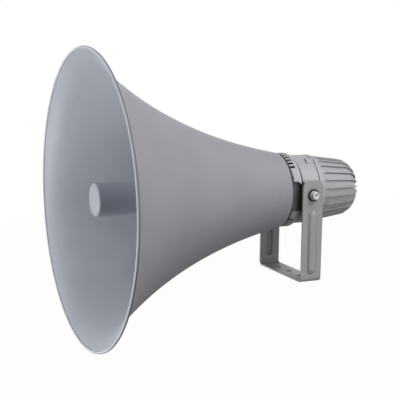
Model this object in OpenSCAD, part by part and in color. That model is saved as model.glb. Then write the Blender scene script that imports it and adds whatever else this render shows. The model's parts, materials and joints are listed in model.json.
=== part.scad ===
// Reflex horn loudspeaker on a tilting U bracket.
// The sound leaves the driver through a straight throat tube, turns back inside a
// closed-front reflector tube, turns forward again at the neck and leaves by the bell.
// Frame: +Z up, mouth towards -Y. The origin is the centre hole of the bracket's foot,
// on its underside. All lengths are in millimetres.

/* [Bracket] */
// Width of the steel strip
strip_w = 40; // [34:1:46]
// Thickness of the steel strip
strip_t = 3; // [2:0.5:4]
// Height of the tilt axis over the foot's underside
pivot_h = 156; // [146:1:190]
// Length of each arm above the tilt axis
arm_over = 26; // [20:1:32]
// Radius of the rounded corners at the arm ends
arm_corner = 13; // [6:1:16]
// Outside radius of the two bends
bend_r = 8; // [6:1:12]
// Width of the pressed stiffening bead, on the outside
bead_w = 16; // [14:1:22]
// Height of the pressed bead
bead_h = 4.5; // [2:0.5:5]
// Distance from the tilt axis down to the bead's upper end
bead_top_gap = 27; // [24:1:40]
// Distance from the foot up to the bead's lower end
bead_foot_gap = 15; // [13:1:30]
// Diameter of the foot's centre hole
foot_hole_d = 11; // [8:0.5:13]
// Diameter of the foot's two side holes
side_hole_d = 9; // [6:0.5:11]
// Distance between the two side holes
side_hole_pitch = 76; // [60:1:90]

/* [Bell] */
// Outside diameter over the rolled rim
mouth_d = 510; // [496:2:530]
// Distance from the tilt axis forward to the mouth
mouth_reach = 395; // [385:1:400]
// Distance from the tilt axis forward to the back of the neck
neck_reach = 34; // [32:0.5:38]
// How far the neck stands out over the housing's front ring
neck_step = 1; // [0.5:0.5:3]
// Width of the neck's fixing flange, turned inwards
neck_flange_w = 16; // [14:0.5:18]
// Length over which the flare's curve grows by the factor e
flare_len = 256; // [248:1:280]
// Opening of the flare at the neck, from 0 for a straight start to 1 for an exponential
flare_start = 0.72; // [0.5:0.02:0.9]
// Length over which the sheet turns outwards at the mouth
lip_len = 9; // [6:0.5:14]
// Thickness of the spun sheet
bell_t = 1.5; // [1:0.1:2]
// Diameter of the rolled rim
rim_d = 5.2; // [4.6:0.2:7]

/* [Reflector and throat tube] */
// Outside diameter of the reflector's straight front part
reflector_d = 57.6; // [52:0.2:62]
// Distance from the mouth back to the reflector's closed end
reflector_setback = 18; // [10:1:40]
// Length of the reflector's straight part
reflector_straight = 88; // [70:1:110]
// Wall of the reflector
reflector_t = 2; // [1.5:0.1:2.6]
// Radial passage between the reflector's open end and the neck
back_passage = 23; // [19:0.5:27]
// Distance from the neck's back face forward to the reflector's open end
reflector_back_gap = 22; // [18:1:30]
// Radius of the reflector's front edge
reflector_edge_r = 4; // [2:0.5:5]
// Depth of the dish in the reflector's end face
dish_depth = 1.2; // [0.6:0.1:1.6]
// Bore radius of the throat tube at the driver
throat_r = 12.5; // [10:0.5:14]
// Bore radius of the throat tube at its front end
throat_end_r = 13.5; // [12:0.5:15]
// Wall of the throat tube at its front end
throat_wall = 2.5; // [2:0.5:3]
// Gap from the throat tube's front end to the closed end
turn_gap = 32; // [24:1:40]
// Radius of the throat tube's fixing flange
throat_flange_r = 27; // [26:0.5:30]
// Thickness of the throat tube's fixing flange
throat_flange_t = 5; // [4:0.5:7]
// Fillet between the throat tube and its flange
throat_foot = 2; // [1:0.5:3]
// Distance of the front spider from the throat tube's tip
front_spider_inset = 12; // [8:1:20]
// Distance of the back spider from the reflector's open end
back_spider_inset = 14; // [10:1:24]
// Thickness of the spider vanes
vane_t = 6; // [5:0.5:8]
// Length of each spider along the axis
spider_len = 12; // [9:1:16]
// Wall of the front spider's hub
front_hub_t = 2.5; // [2:0.5:3]
// Wall of the back spider's hub
back_hub_t = 3; // [2.5:0.5:4]
// How deep the screws that hold the reflector sink into its wall
reflector_screw_sink = 0.6; // [0.4:0.1:1]

/* [Driver housing] */
// Thickness of the gasket at the neck
neck_gasket_t = 4; // [2:0.5:5]
// How far the front ring stands out over the housing
ring_lip = 5; // [3:0.5:7]
// Length of the housing's front ring
ring_len = 16; // [14:1:20]
// Depth of the groove behind the ring, under the housing's skin
groove_depth = 2.5; // [1.5:0.5:3]
// Length of the groove
groove_len = 4; // [3:0.5:6]
// Distance from the tilt axis back to the housing's joint face
joint_back = 24; // [22:0.5:28]
// Wall of the housing and of the rear cover
wall = 4; // [3:0.5:5]
// Thickness of the bulkhead that carries the horn and the driver
bulkhead_t = 8; // [7:0.5:10]
// Angle between two slots in the front ring
slot_pitch = 7.5; // [7:0.5:10]
// Width of a slot
slot_w = 4.6; // [3:0.2:5]
// Length of a slot from the ring's front face
slot_len = 9; // [6:0.5:11]
// Depth of a slot
slot_depth = 5.4; // [2:0.2:5.8]
// How far the side pockets' floor lies outside the housing's bore
pocket_floor = 2.5; // [2:0.5:6]
// Depth of the side pockets' lower edge under the axis
pocket_low = 30; // [24:1:34]
// Height of the side pockets' roof over the axis, at the ring's front edge
pocket_high = 23; // [18:1:30]
// Height of the side pockets' roof over the axis, at the trunnion boss
pocket_back_high = 15; // [10:1:22]
// Length of the trunnion boss in front of the tilt axis
boss_front = 12; // [10:1:19]
// Length of the trunnion boss behind the tilt axis
boss_back = 20; // [14:1:22]
// Height of the trunnion boss at its root
boss_root_h = 55; // [48:1:60]
// Height of the trunnion boss at its outer face
boss_face_h = 42; // [36:1:46]
// How far the trunnion bosses stand out past the front ring
boss_out = 8.7; // [7:0.1:16]
// Length of the housing's screw lugs
lug_len = 14; // [12:1:18]

/* [Rear cover] */
// Length of the rear cover from the joint face to its end wall
cover_len = 94.5; // [90:0.5:115]
// How far the cover's skin lies inside its collar at the joint
collar_step = 4; // [3:0.5:5]
// How much the skin narrows from the joint to the rounded end
skin_taper = 9; // [4:0.5:10]
// Radius of the cover's rounded end
end_round = 29; // [24:1:38]
// Number of fins
fin_count = 24; // [18:2:28]
// Height of a fin over the skin
fin_h = 3.8; // [2:0.2:4]
// Thickness of a fin
fin_t = 2.4; // [1.8:0.2:3]
// Distance from the joint face back to the start of the fins
fin_start = 14; // [12:1:22]
// Length of the cover's plain collar
collar_len = 9; // [7:0.5:11]
// Angle of the screw lugs from the vertical
lug_angle = 30; // [29:0.5:31]
// Radius of a screw lug
lug_r = 7; // [6:0.5:7.5]
// Distance from the housing's outer skin in to the middle of a screw lug
lug_inset = 3; // [3:0.5:3.5]
// Length of the screwdriver pockets behind the cover's lugs
pocket_len = 30; // [20:1:36]
// Thickness of the joint gasket
joint_gasket_t = 1.5; // [1:0.5:2.5]

/* [Motor] */
// Radius of the ring magnet
magnet_r = 43; // [42:0.5:48]
// Bore radius of the ring magnet
magnet_bore_r = 25; // [23:0.5:28]
// Thickness of the ring magnet
magnet_t = 16; // [12:0.5:20]
// Thickness of the top plate
top_plate_t = 6; // [5:0.5:8]
// Distance from a motor screw's axis out to the rim of the plates
plate_edge = 4.5; // [4:0.5:6]
// Room between the plates' rims and the housing
plate_room = 2.5; // [2:0.5:5]
// Thickness of the phase plate's disc
phase_plate_t = 11; // [10:0.5:13]
// Depth of the diaphragm chamber in the phase plate
chamber_t = 6; // [5:0.5:8]
// Radius of the diaphragm chamber
chamber_r = 35; // [33:0.5:37]
// Thickness of the back plate
back_plate_t = 7; // [5:0.5:9]
// How far the back plate's rim lies inside the magnet's
back_plate_step = 2; // [0:0.5:4]
// Inside radius of the voice coil
coil_r = 19; // [18:0.2:20]
// Radial thickness of the winding
coil_t = 0.9; // [0.6:0.1:1.1]
// Length of the voice coil
coil_len = 11; // [9:0.5:13]
// Clearance on each side of the winding in the magnet's gap
coil_gap = 0.5; // [0.3:0.1:0.7]
// Height of the diaphragm's dome
dome_h = 6; // [4:0.5:7]
// Thickness of the diaphragm
dome_t = 0.6; // [0.4:0.1:0.8]
// Thickness of the diaphragm's clamping ring
clamp_t = 2; // [1.5:0.5:3]
// Room between the magnet and the motor screws' heads
magnet_room = 1.3; // [1:0.1:3]

/* [Transformer] */
// Width of the laminated core
core_w = 48; // [42:1:54]
// Height of the laminated core
core_h = 40; // [36:1:44]
// Stack thickness of the laminated core
core_t = 18; // [14:1:22]
// Width of each outer leg and yoke of the core
core_leg = 8; // [6:0.5:9]
// How far the winding stands out of the core on each side
winding_out = 8; // [5:0.5:10]
// Thickness of the sheet clamp
clamp_sheet_t = 1.2; // [1:0.1:1.6]
// Length of each clamp foot
clamp_foot = 11; // [10:0.5:13]
// Distance of the clamp screws from the core's edge
clamp_screw_inset = 12; // [8:0.5:16]
// Length of the terminal block
block_l = 30; // [24:1:34]
// Height of the terminal block
block_h = 8; // [6:0.5:10]
// Depth of the terminal block
block_w = 11; // [9:0.5:14]

/* [Cable gland] */
// Distance of the gland below the axis
gland_drop = 14; // [10:1:18]
// Thread diameter of the gland
gland_d = 16; // [12:1:18]
// Hexagon of the gland across its flats
gland_af = 20; // [18:1:22]
// Height of the gland's hexagon
gland_hex_h = 5; // [4:0.5:6]
// Margin of the cover's flat pad around the gland
gland_pad = 3; // [2:0.5:5]
// Length of the gland's domed nut
gland_nut_h = 9; // [7:0.5:10]
// Bore of the gland's seal
seal_bore = 7; // [5:0.5:9]
// Length of the gland's seal
seal_len = 6; // [5:0.5:8]
// Thickness of the gland's locknut
locknut_t = 4; // [3:0.5:6]

/* [Fasteners] */
// Shank diameter of the pivot bolts
bolt_d = 8; // [6:1:8]
// Hexagon of the pivot bolts across the flats
bolt_af = 13; // [12:0.5:14]
// Height of the pivot bolt heads
bolt_head_h = 5.3; // [4:0.1:6]
// How deep a pivot bolt reaches into its boss
bolt_grip = 14; // [10:1:16]
// Outside diameter of the rubber friction washers
friction_d = 21; // [18:1:24]
// Thickness of the rubber friction washers
friction_t = 2; // [1:0.5:3]
// Outside diameter of the plain washers
washer_d = 16; // [14:1:18]
// Thickness of the plain washers
washer_t = 1.6; // [1:0.2:2]
// Wire thickness of the split spring washers
spring_t = 2; // [1.6:0.2:2.4]
// Shank diameter of the machine screws
screw_d = 5; // [4:0.5:5]
// Head diameter of the machine screws
screw_head_d = 8.4; // [7:0.2:9]
// Head height of the machine screws
screw_head_h = 3.4; // [2.6:0.2:4]
// How deep a machine screw reaches into the casting that holds it
screw_grip = 6; // [4:0.5:7]
// Shank diameter of the small screws
small_d = 3; // [2.5:0.5:3.5]
// Head diameter of the small screws
small_head_d = 5.6; // [5:0.2:6.4]
// Head height of the small screws
small_head_h = 2; // [1.4:0.2:2.4]
// How deep a small screw reaches into the piece that holds it
small_grip = 4; // [3:0.5:6]

/* [Fits] */
// Play between two surfaces that turn on each other
run_gap = 0.05; // [0.03:0.01:0.1]
// Play between two faces that slide past each other
slide_gap = 0.3; // [0.2:0.05:0.4]
// Play of a piece that is pushed into another
seat_gap = 0.1; // [0.05:0.05:0.2]
// Play of a screw in its clearance hole
hole_gap = 0.25; // [0.15:0.05:0.4]
// How much deeper a tapped hole is than its screw
tap_room = 0.2; // [0.1:0.1:0.8]
// How far a gasket's edge lies inside the faces that it seals
gasket_inset = 0.5; // [0.3:0.1:2]

/* [Hidden] */
round_fn = 96;
small_fn = 32;
eps = 0.01;

// Radii, from the motor outwards.
back_plate_r = magnet_r - back_plate_step;
motor_screw_r = magnet_r + magnet_room + screw_head_d / 2;
plate_r = motor_screw_r + plate_edge;
housing_in_r = plate_r + plate_room;
groove_r = housing_in_r + wall;
housing_r = groove_r + groove_depth;
ring_r = housing_r + ring_lip;
neck_r = ring_r + neck_step;
neck_bore_r = neck_r - neck_flange_w;
reflector_back_r = neck_r - back_passage;
lug_centre_r = housing_r - lug_inset;
skin_front_r = housing_r - collar_step;
skin_back_r = skin_front_r - skin_taper;

// Places along the horn's axis, measured back from the tilt axis.
mouth_s = -mouth_reach;
neck_s = -neck_reach;
bulkhead_s = neck_s + neck_gasket_t;
bulkhead_back_s = bulkhead_s + bulkhead_t;
ring_end_s = bulkhead_s + ring_len;
groove_end_s = ring_end_s + groove_len;
joint_s = joint_back;
cover_s = joint_s + joint_gasket_t;
cover_end_s = joint_s + cover_len;
chamber_s = bulkhead_back_s + phase_plate_t;
top_plate_s = chamber_s + chamber_t;
magnet_s = top_plate_s + top_plate_t;
back_plate_s = magnet_s + magnet_t;
back_plate_end_s = back_plate_s + back_plate_t;
flange_s = chamber_s + clamp_t;
core_s = back_plate_end_s + winding_out;
core_end_s = core_s + core_t;

// Places across the bracket.
boss_face_x = ring_r + boss_out;
arm_in_x = boss_face_x + slide_gap;
arm_out_x = arm_in_x + strip_t;
bead_arc_r = (pow(bead_w / 2, 2) + pow(bead_h, 2)) / (2 * bead_h);
bead_axis_x = arm_out_x + bead_h - bead_arc_r;

// Reflector places.
reflector_s = mouth_s + reflector_setback;
reflector_r = reflector_d / 2;
reflector_flare_s = reflector_s + reflector_straight;
reflector_end_s = neck_s - reflector_back_gap;
throat_tip_s = reflector_s + reflector_t + turn_gap;
throat_out_r = throat_end_r + throat_wall;
front_spider_s = throat_tip_s + front_spider_inset;
back_spider_s = reflector_end_s - spider_len - back_spider_inset;

// Screw circles.
neck_screw_r = (neck_bore_r + neck_r) / 2 - bell_t;
throat_screw_r = (throat_out_r + throat_foot + throat_flange_r) / 2;
bore_screw_d = screw_d + 2 * hole_gap;

lug_angles = [lug_angle, 180 - lug_angle, 180 + lug_angle, 360 - lug_angle];
quarter_angles = [45, 135, 225, 315];
third_angles = [0, 120, 240];
sixth_angles = [0, 60, 120, 180, 240, 300];
tap_d = screw_d + 2 * run_gap;
small_tap_d = small_d + 2 * run_gap;

// Colours.
housing_grey = [0.62, 0.63, 0.65];
steel_grey = [0.56, 0.57, 0.58];
zinc = [0.82, 0.82, 0.80];
black_rubber = [0.10, 0.10, 0.10];
plastic_grey = [0.45, 0.46, 0.48];
dark_steel = [0.30, 0.30, 0.32];

// Puts its children on the horn's axis, with their Z pointing back, at distance s
// behind the tilt axis.
module on_axis(s = 0) {
  translate([0, s, pivot_h]) rotate([-90, 0, 0]) children();
}

// Repeats its children around the horn's axis. Each angle is read from the top
// towards +X, and the children lie at radius r along their own X.
module around(angles, r) {
  for (a = angles) rotate([0, 0, a - 90]) translate([r, 0, 0]) children();
}

// Repeats its children on both sides of the bracket.
module both_sides() {
  children();
  mirror([1, 0, 0]) children();
}

module ring(r_out, r_in, h) {
  difference() {
    cylinder(r = r_out, h = h, $fn = round_fn);
    translate([0, 0, -1]) cylinder(r = r_in, h = h + 2, $fn = round_fn);
  }
}

// A machine screw whose head sits on Z = 0 and whose shank points to -Z.
module pan_screw(d, head_d, head_h, len) {
  translate([0, 0, -len]) cylinder(d = d, h = len + eps, $fn = small_fn);
  cylinder(d = head_d, h = head_h * 0.45, $fn = small_fn);
  translate([0, 0, head_h * 0.45])
    cylinder(d1 = head_d, d2 = head_d * 0.62, h = head_h * 0.55, $fn = small_fn);
}

module hexagon(af, h) {
  cylinder(d = af / cos(30), h = h, $fn = 6);
}

function cosh_of(a) = (exp(a) + exp(-a)) / 2;
function sinh_of(a) = (exp(a) - exp(-a)) / 2;
bell_len = mouth_reach - neck_reach - rim_d / 2;
rim_r = mouth_d / 2 - rim_d / 2;
rim_s = mouth_s + rim_d / 2;

// Outer radius of the bell at a distance u in front of the neck: a hyperbolic flare
// with a lip that turns out to meet the rolled rim.
function flare_only(u) = neck_r * (cosh_of(u / flare_len) + flare_start * sinh_of(u / flare_len));
lip_rise = rim_r - flare_only(bell_len);
function bell_r(u) = flare_only(u) + lip_rise * exp((u - bell_len) / lip_len);
function flare_slope(u) =
  neck_r / flare_len * (sinh_of(u / flare_len) + flare_start * cosh_of(u / flare_len));
function bell_slope(u) = flare_slope(u) + lip_rise / lip_len * exp((u - bell_len) / lip_len);

// A point of the sheet, depth t under its outer face.
function bell_point(u, t) =
  let (m = bell_slope(u), n = sqrt(1 + m * m))
  [bell_r(u) - t / n, neck_s - u - t * m / n];

// Stations along the flare, closer together towards the mouth.
bell_steps = 44;
function station(i) = bell_len * (1 - pow(1 - i / bell_steps, 1.35));
neck_round = 2;

module bell_section() {
  outer = [for (i = [1 : bell_steps]) bell_point(station(i), 0)];
  inner = [for (i = [bell_steps : -1 : 1]) bell_point(station(i), bell_t)];
  polygon(concat(
    [[neck_bore_r, neck_s], [neck_r - neck_round, neck_s], [neck_r, neck_s - neck_round]],
    outer, inner,
    [[neck_r - bell_t, neck_s - neck_round], [neck_r - neck_round, neck_s - bell_t],
     [neck_bore_r, neck_s - bell_t]]));
}

// The rim is the sheet's edge, curled outwards and back round an open core.
module rim_section() {
  slit_turn = 118;
  translate([rim_r, rim_s]) difference() {
    circle(d = rim_d, $fn = small_fn);
    circle(r = rim_d / 2 - bell_t, $fn = small_fn);
    rotate(slit_turn) translate([0, -0.2]) square([rim_d, 0.4]);
  }
}

module horn_bell() {
  color(housing_grey) on_axis() difference() {
    rotate_extrude($fn = round_fn) {
      difference() {
        bell_section();
        translate([rim_r, rim_s]) circle(r = rim_d / 2 - bell_t / 2, $fn = small_fn);
      }
      rim_section();
    }
    around(sixth_angles, neck_screw_r)
      translate([0, 0, neck_s - bell_t - 1])
        cylinder(d = bore_screw_d, h = bell_t + 2, $fn = small_fn);
  }
}

// Outer radius of the reflector: straight in front, then opening towards the neck.
function reflector_out(s) = s <= reflector_flare_s ? reflector_r :
  reflector_r + (reflector_back_r - reflector_r)
    * pow((s - reflector_flare_s) / (reflector_end_s - reflector_flare_s), 1.7);
reflector_steps = 18;
function reflector_station(i) =
  reflector_flare_s + (reflector_end_s - reflector_flare_s) * i / reflector_steps;
reflector_seat_s = back_spider_s + spider_len / 2;
reflector_screw_r = reflector_out(reflector_seat_s) - reflector_screw_sink;

// The space inside the reflector, kept a given play away from its wall.
module reflector_space(play) {
  cut = reflector_t + play;
  floor_s = reflector_s + dish_depth + cut;
  rotate_extrude($fn = round_fn) polygon(concat(
    [[0, floor_s], [reflector_r - cut, floor_s]],
    [for (i = [0 : reflector_steps])
      [reflector_out(reflector_station(i)) - cut, reflector_station(i)]],
    [[reflector_back_r - cut, reflector_end_s + 1], [0, reflector_end_s + 1]]));
}

module reflector_body() {
  face_r = reflector_r - reflector_edge_r;
  edge_s = reflector_s + reflector_edge_r;
  dish = [for (i = [0 : 6]) [face_r * i / 6, reflector_s + dish_depth * (1 - pow(i / 6, 2))]];
  edge = [for (a = [15 : 15 : 90])
    [face_r + reflector_edge_r * sin(a), edge_s - reflector_edge_r * cos(a)]];
  rotate_extrude($fn = round_fn) polygon(concat(
    dish, edge,
    [for (i = [0 : reflector_steps]) [reflector_out(reflector_station(i)), reflector_station(i)]],
    [[0, reflector_end_s]]));
}

module reflector_tube() {
  color(housing_grey) on_axis() difference() {
    reflector_body();
    reflector_space(0);
    around(third_angles, reflector_screw_r) translate([0, 0, reflector_seat_s])
      rotate([0, 90, 0]) {
        cylinder(d = small_head_d + 2 * hole_gap, h = small_head_h + 1, $fn = small_fn);
        translate([0, 0, -2 * reflector_t])
          cylinder(d = small_d + 2 * hole_gap, h = 2 * reflector_t + 1, $fn = small_fn);
      }
  }
}

module reflector_screws() {
  color(zinc) on_axis() around(third_angles, reflector_screw_r)
    translate([0, 0, reflector_seat_s]) rotate([0, 90, 0])
      pan_screw(small_d, small_head_d, small_head_h, reflector_t + small_grip);
}

module throat_tube() {
  chamfer = 1;
  color(housing_grey) on_axis() difference() {
    rotate_extrude($fn = round_fn) polygon([
      [throat_r, bulkhead_s], [throat_end_r, throat_tip_s],
      [throat_out_r - chamfer, throat_tip_s], [throat_out_r, throat_tip_s + chamfer],
      [throat_out_r, bulkhead_s - throat_flange_t - 2 * throat_foot],
      [throat_out_r + throat_foot, bulkhead_s - throat_flange_t],
      [throat_flange_r, bulkhead_s - throat_flange_t], [throat_flange_r, bulkhead_s]]);
    around(quarter_angles, throat_screw_r)
      translate([0, 0, bulkhead_s - throat_flange_t - 1])
        cylinder(d = bore_screw_d, h = throat_flange_t + 2, $fn = small_fn);
  }
}

// A hub that slips over the throat tube, with three vanes that reach the reflector.
module spider(s, hub_t) {
  color(plastic_grey) on_axis() difference() {
    union() {
      translate([0, 0, s]) cylinder(r = throat_out_r + hub_t, h = spider_len, $fn = round_fn);
      intersection() {
        translate([0, 0, s]) around(third_angles, 0)
          translate([throat_out_r, -vane_t / 2, 0])
            cube([reflector_back_r - throat_out_r, vane_t, spider_len]);
        reflector_space(run_gap);
      }
    }
    translate([0, 0, s - 1])
      cylinder(r = throat_out_r + run_gap, h = spider_len + 2, $fn = round_fn);
    around(third_angles, reflector_screw_r) translate([0, 0, reflector_seat_s])
      rotate([0, -90, 0])
        cylinder(d = small_tap_d, h = reflector_t + small_grip + tap_room, $fn = small_fn);
  }
}

module front_spider() {
  spider(front_spider_s, front_hub_t);
}

module back_spider() {
  spider(back_spider_s, back_hub_t);
}

module throat_screws() {
  color(zinc) on_axis() around(quarter_angles, throat_screw_r)
    translate([0, 0, bulkhead_s - throat_flange_t]) mirror([0, 0, 1])
      pan_screw(screw_d, screw_head_d, screw_head_h, throat_flange_t + screw_grip);
}

module neck_gasket() {
  side_x = housing_in_r + pocket_floor;
  color(black_rubber) on_axis(neck_s) difference() {
    ring(neck_r - neck_gasket_t, neck_bore_r, neck_gasket_t);
    both_sides() translate([side_x, -pocket_high, -1])
      cube([neck_r, pocket_high + pocket_low, neck_gasket_t + 2]);
    around(sixth_angles, neck_screw_r) translate([0, 0, -1])
      cylinder(d = bore_screw_d, h = neck_gasket_t + 2, $fn = small_fn);
  }
}

module neck_screws() {
  color(zinc) on_axis() around(sixth_angles, neck_screw_r)
    translate([0, 0, neck_s - bell_t]) mirror([0, 0, 1])
      pan_screw(screw_d, screw_head_d, screw_head_h, bell_t + neck_gasket_t + screw_grip);
}

// The driver housing.

// The trunnion boss, drawn across the bracket with its flat end at boss_face_x.
module trunnion() {
  root_x = housing_in_r * 0.7;
  translate([0, 0, -boss_front]) linear_extrude(height = boss_front + boss_back)
    polygon([[root_x, -boss_root_h / 2], [boss_face_x, -boss_face_h / 2],
      [boss_face_x, boss_face_h / 2], [root_x, boss_root_h / 2]]);
}

module housing_section() {
  edge = 2;
  polygon([
    [0, bulkhead_s], [ring_r - edge, bulkhead_s], [ring_r, bulkhead_s + edge],
    [ring_r, ring_end_s - edge / 2], [ring_r - edge / 2, ring_end_s],
    [groove_r, ring_end_s], [groove_r, groove_end_s],
    [housing_r - edge / 2, groove_end_s], [housing_r, groove_end_s + edge / 2],
    [housing_r, joint_s], [0, joint_s]]);
}

// Short slots in the ring's front edge, above and below the trunnions.
module ring_slots() {
  reach = 6;
  rows = [for (side = [0, 180]) for (i = [-reach : reach]) side + i * slot_pitch];
  around(rows, ring_r - slot_depth) translate([0, -slot_w / 2, bulkhead_s - 1])
    cube([slot_depth + 1, slot_w, slot_len + 1]);
}

// The deep pocket in each side of the ring, in front of the trunnion boss. It is drawn
// on the side of the housing, with the axis along +X and up along +Y.
module side_pocket() {
  floor_x = housing_in_r + pocket_floor;
  front_s = bulkhead_s - 1;
  back_s = 1 - boss_front;
  both_sides() translate([boss_face_x, 0, 0]) rotate([0, -90, 0])
    linear_extrude(height = boss_face_x - floor_x)
      polygon([[front_s, pocket_low], [front_s, -pocket_high], [bulkhead_back_s, -pocket_high],
        [back_s, -pocket_back_high], [back_s, pocket_low]]);
}

module driver_housing() {
  tap_depth = screw_grip + tap_room;
  color(housing_grey) on_axis() difference() {
    union() {
      difference() {
        rotate_extrude($fn = round_fn) housing_section();
        side_pocket();
      }
      both_sides() trunnion();
      around(lug_angles, lug_centre_r) translate([0, 0, joint_s - lug_len])
        cylinder(r = lug_r, h = lug_len, $fn = small_fn);
    }
    difference() {
      translate([0, 0, bulkhead_back_s])
        cylinder(r = housing_in_r, h = joint_s - bulkhead_back_s + 1, $fn = round_fn);
      around(lug_angles, lug_centre_r) translate([0, 0, joint_s - lug_len])
        cylinder(r = lug_r, h = lug_len + 2, $fn = small_fn);
    }
    translate([0, 0, bulkhead_s - 1]) cylinder(r = throat_r, h = bulkhead_t + 2, $fn = round_fn);
    ring_slots();
    around(sixth_angles, neck_screw_r) translate([0, 0, bulkhead_s - 1])
      cylinder(d = tap_d, h = tap_depth + 1, $fn = small_fn);
    around(quarter_angles, throat_screw_r) translate([0, 0, bulkhead_s - 1])
      cylinder(d = tap_d, h = tap_depth + 1, $fn = small_fn);
    around(quarter_angles, motor_screw_r) translate([0, 0, bulkhead_back_s - tap_depth])
      cylinder(d = tap_d, h = tap_depth + 1, $fn = small_fn);
    around(lug_angles, lug_centre_r) translate([0, 0, joint_s - 1.5 * screw_grip - tap_room])
      cylinder(d = tap_d, h = lug_len, $fn = small_fn);
    both_sides() translate([boss_face_x - bolt_grip - 1, 0, 0]) rotate([0, 90, 0])
      cylinder(d = bolt_d + 2 * run_gap, h = bolt_grip + 2, $fn = round_fn);
  }
}

module joint_gasket() {
  color(black_rubber) on_axis(joint_s) difference() {
    union() {
      ring(housing_r - gasket_inset, housing_in_r + gasket_inset, joint_gasket_t);
      around(lug_angles, lug_centre_r)
        cylinder(r = lug_r - gasket_inset, h = joint_gasket_t, $fn = small_fn);
    }
    around(lug_angles, lug_centre_r) translate([0, 0, -1])
      cylinder(d = bore_screw_d, h = joint_gasket_t + 2, $fn = small_fn);
  }
}

// The rear cover.
round_s = cover_end_s - end_round;
round_r = skin_back_r - end_round;
skin_fall = (skin_front_r - skin_back_r) / (round_s - joint_s);
function skin_r(s) = skin_front_r - skin_fall * (s - joint_s);
lug_end_s = cover_s + collar_len;

// Outline of the cover's skin, grown by t: a slight taper with a rounded end.
module skin_section(t, start_s) {
  end_arc = [for (a = [0 : 10 : 90])
    [round_r + (end_round + t) * cos(a), round_s + (end_round + t) * sin(a)]];
  polygon(concat([[0, start_s], [skin_r(start_s) + t, start_s]], end_arc,
    [[0, cover_end_s + t]]));
}

// One fin, drawn in the plane of the axis: it follows the skin and turns over the end.
module fin_section() {
  root = 1.5;
  foot_s = joint_s + fin_start;
  ramp = 2 * fin_h;
  crest = [for (a = [0 : 10 : 90])
    [round_r + (end_round + fin_h) * cos(a), round_s + (end_round + fin_h) * sin(a)]];
  base = [for (a = [90 : -10 : 0])
    [round_r + (end_round - root) * cos(a), round_s + (end_round - root) * sin(a)]];
  polygon(concat([[skin_r(foot_s) - root, foot_s], [skin_r(foot_s), foot_s],
    [skin_r(foot_s + ramp) + fin_h, foot_s + ramp]], crest, base));
}

module rear_cover() {
  pocket_r = screw_head_d / 2 + 0.4;
  gland_seat_r = gland_d / 2 + hole_gap;
  pad_r = gland_af / 2 / cos(30) + gland_pad;
  pad_len = 2 * wall;
  color(housing_grey) on_axis() difference() {
    union() {
      rotate_extrude($fn = round_fn) {
        skin_section(0, cover_s);
        translate([0, cover_s]) square([housing_r, collar_len - 1]);
        polygon([[0, lug_end_s - 1], [housing_r, lug_end_s - 1], [housing_r - 1, lug_end_s],
          [0, lug_end_s]]);
      }
      around(lug_angles, lug_centre_r) translate([0, 0, cover_s])
        cylinder(r = lug_r, h = collar_len, $fn = small_fn);
      for (i = [0 : fin_count - 1])
        rotate([0, 0, (i + 0.5) * 360 / fin_count - 90])
          translate([0, fin_t / 2, 0]) rotate([90, 0, 0])
            linear_extrude(height = fin_t) fin_section();
      translate([0, gland_drop, cover_end_s - pad_len]) cylinder(r = pad_r, h = pad_len, $fn = round_fn);
    }
    rotate_extrude($fn = round_fn) skin_section(-wall, cover_s - 1);
    translate([0, gland_drop, cover_end_s - wall - pad_len])
      cylinder(r = pad_r - 1, h = pad_len, $fn = round_fn);
    translate([0, gland_drop, cover_end_s])
      cylinder(r = pad_r - 0.5, h = 2 * fin_h, $fn = round_fn);
    around(lug_angles, lug_centre_r) translate([0, 0, cover_s - 1]) {
      cylinder(d = bore_screw_d, h = collar_len + 2, $fn = small_fn);
      translate([0, 0, collar_len + 1]) cylinder(r = pocket_r, h = pocket_len, $fn = small_fn);
    }
    translate([0, gland_drop, cover_end_s - wall - 1])
      cylinder(r = gland_seat_r, h = wall + 2, $fn = round_fn);
  }
}

module cover_screws() {
  color(zinc) on_axis() around(lug_angles, lug_centre_r) translate([0, 0, lug_end_s])
    pan_screw(screw_d, screw_head_d, screw_head_h, collar_len + joint_gasket_t + 1.5 * screw_grip);
}

// The motor.
module phase_plate() {
  mouth_r = coil_r + 1.5;
  color(housing_grey) on_axis() difference() {
    translate([0, 0, bulkhead_back_s])
      cylinder(r = plate_r, h = phase_plate_t + chamber_t, $fn = round_fn);
    translate([0, 0, chamber_s]) cylinder(r = chamber_r, h = chamber_t + 1, $fn = round_fn);
    rotate_extrude($fn = round_fn) polygon([
      [0, bulkhead_back_s - 1], [throat_r, bulkhead_back_s - 1], [throat_r, bulkhead_back_s],
      [mouth_r, chamber_s], [mouth_r, chamber_s + 1], [0, chamber_s + 1]]);
    around(quarter_angles, motor_screw_r) translate([0, 0, bulkhead_back_s - 1])
      cylinder(d = bore_screw_d, h = phase_plate_t + chamber_t + 2, $fn = small_fn);
  }
}

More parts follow.
